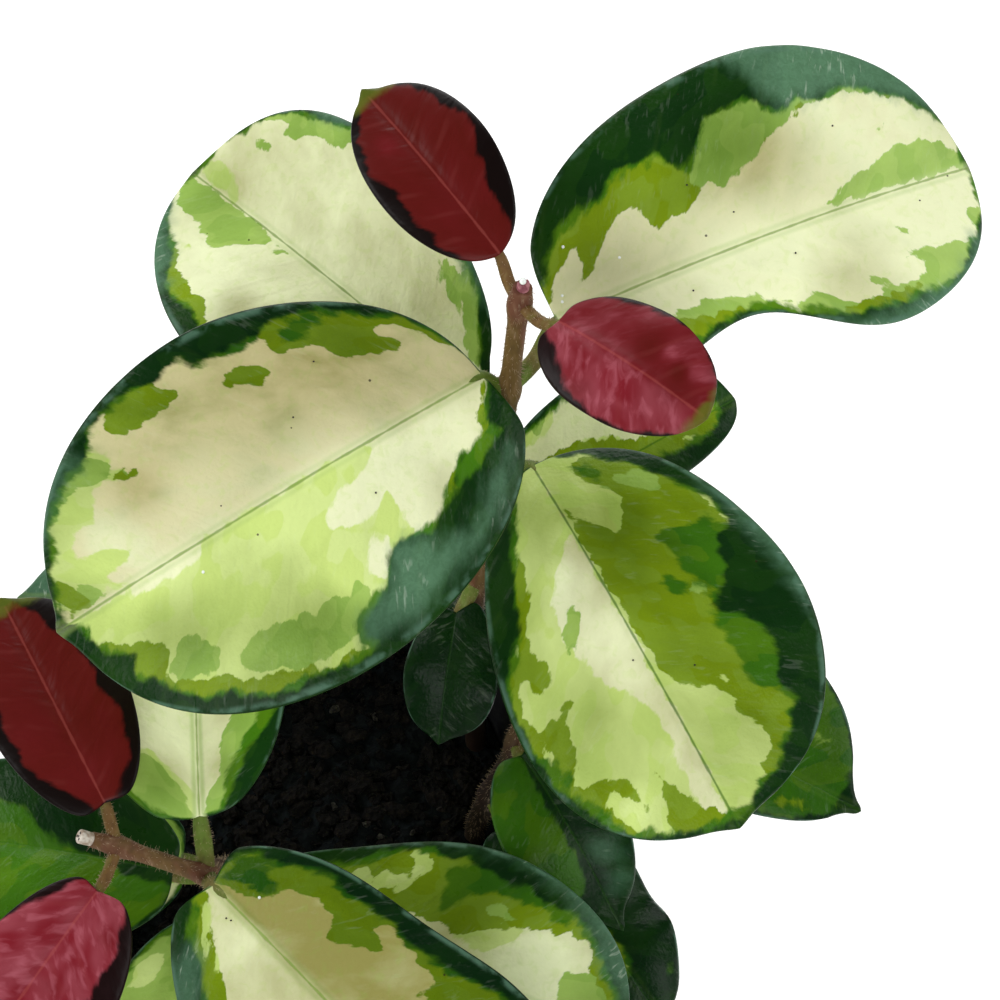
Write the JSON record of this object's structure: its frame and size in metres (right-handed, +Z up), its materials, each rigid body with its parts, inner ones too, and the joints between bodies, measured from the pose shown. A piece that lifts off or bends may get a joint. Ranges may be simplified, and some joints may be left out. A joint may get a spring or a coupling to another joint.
{
  "type": "potted variegated hoya plant",
  "caption": "Small climbing house plant with round, thick, cream and green leaves and dark red young ones, standing in dark potting mix in a plain round nursery pot.",
  "frame": {"origin": "centre of the pot's flat underside, where it stands", "axes": "+Z up, -Y is the front that the picture looks at from above, +X to the right of that view"},
  "size_m": [0.1886, 0.1936, 0.2254],
  "materials": {
    "pot": "satin",
    "soil": "matte",
    "stem": "matte",
    "leaf": "satin",
    "young_leaf": "gloss"
  },
  "bodies": {
    "root": {"pot": "pot", "soil": "soil", "stem_a": "stem", "stem_b": "stem", "stem_c": "stem", "stem_d": "stem", "leaf_a1_left": "leaf", "leaf_a1_right": "leaf", "leaf_a2_front": "leaf", "leaf_a2_back": "leaf", "leaf_a3_right": "leaf", "leaf_a3_front": "leaf", "leaf_a4_right": "leaf", "leaf_a4_back": "leaf", "leaf_b1_back": "leaf", "leaf_b1_front": "leaf", "leaf_b2_right": "leaf", "leaf_b2_left": "leaf", "leaf_b3_front": "leaf", "leaf_b3_left": "leaf", "leaf_c1_back": "leaf", "leaf_c1_front": "leaf", "leaf_c2_left": "leaf", "leaf_c2_right": "leaf", "leaf_d1_front": "leaf", "leaf_d2_front": "leaf", "young_leaf_a_back": "young_leaf", "young_leaf_a_right": "young_leaf", "young_leaf_b_back": "young_leaf", "young_leaf_b_front": "young_leaf", "young_leaf_c_back": "young_leaf", "young_leaf_c_front": "young_leaf", "young_leaf_d_back": "young_leaf", "young_leaf_d_right": "young_leaf"}
  },
  "joints": []
}
